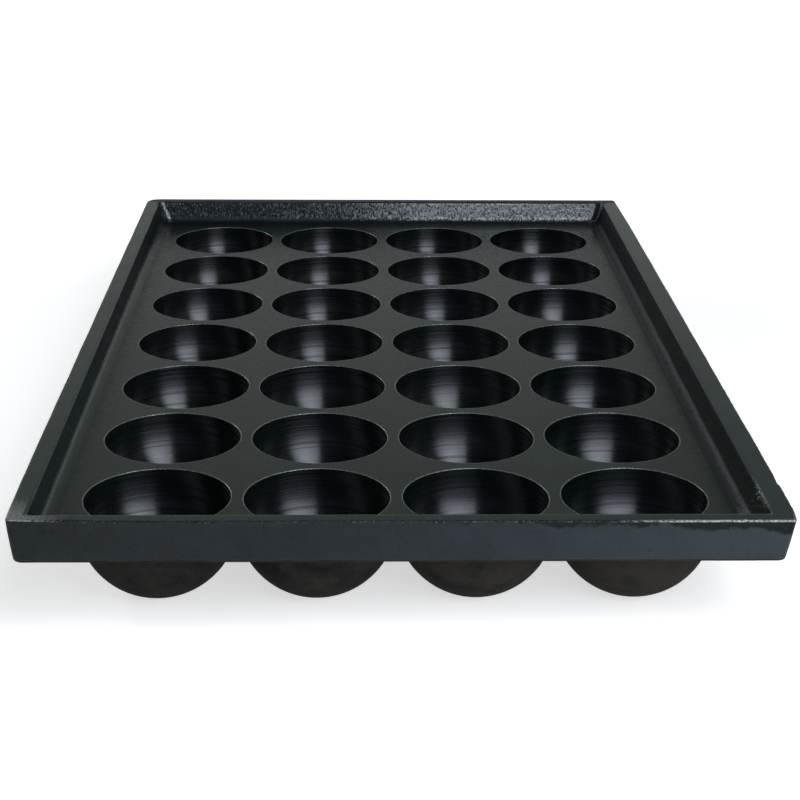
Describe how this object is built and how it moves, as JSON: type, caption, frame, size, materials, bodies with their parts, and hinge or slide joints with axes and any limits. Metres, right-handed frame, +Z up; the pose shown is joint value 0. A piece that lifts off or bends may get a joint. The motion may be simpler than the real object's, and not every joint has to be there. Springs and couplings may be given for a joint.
{
  "type": "takoyaki plate",
  "caption": "Shallow rectangular cast-iron cooking plate with a raised leaning rim and a grid of round-bottomed cups for turning balls of batter over a burner.",
  "frame": {"origin": "under the middle of the rim's outer rectangle, on the plane that the cups' feet stand on", "axes": "+Z up out of the cups; +Y along the plate, from the front wall to the back wall; +X across it, to the right seen from the front"},
  "size_m": [0.2028, 0.3344, 0.0361],
  "materials": {
    "seasoned_iron": "black seasoned iron, satin on the deck and the ground rim, glossier in the turned cups, matt and rough where it is as cast"
  },
  "bodies": {
    "root": {"rim_frame": "seasoned_iron", "cup_row1_col1": "seasoned_iron", "cup_row1_col2": "seasoned_iron", "cup_row1_col3": "seasoned_iron", "cup_row1_col4": "seasoned_iron", "cup_row2_col1": "seasoned_iron", "cup_row2_col2": "seasoned_iron", "cup_row2_col3": "seasoned_iron", "cup_row2_col4": "seasoned_iron", "cup_row3_col1": "seasoned_iron", "cup_row3_col2": "seasoned_iron", "cup_row3_col3": "seasoned_iron", "cup_row3_col4": "seasoned_iron", "cup_row4_col1": "seasoned_iron", "cup_row4_col2": "seasoned_iron", "cup_row4_col3": "seasoned_iron", "cup_row4_col4": "seasoned_iron", "cup_row5_col1": "seasoned_iron", "cup_row5_col2": "seasoned_iron", "cup_row5_col3": "seasoned_iron", "cup_row5_col4": "seasoned_iron", "cup_row6_col1": "seasoned_iron", "cup_row6_col2": "seasoned_iron", "cup_row6_col3": "seasoned_iron", "cup_row6_col4": "seasoned_iron", "cup_row7_col1": "seasoned_iron", "cup_row7_col2": "seasoned_iron", "cup_row7_col3": "seasoned_iron", "cup_row7_col4": "seasoned_iron"}
  },
  "joints": []
}
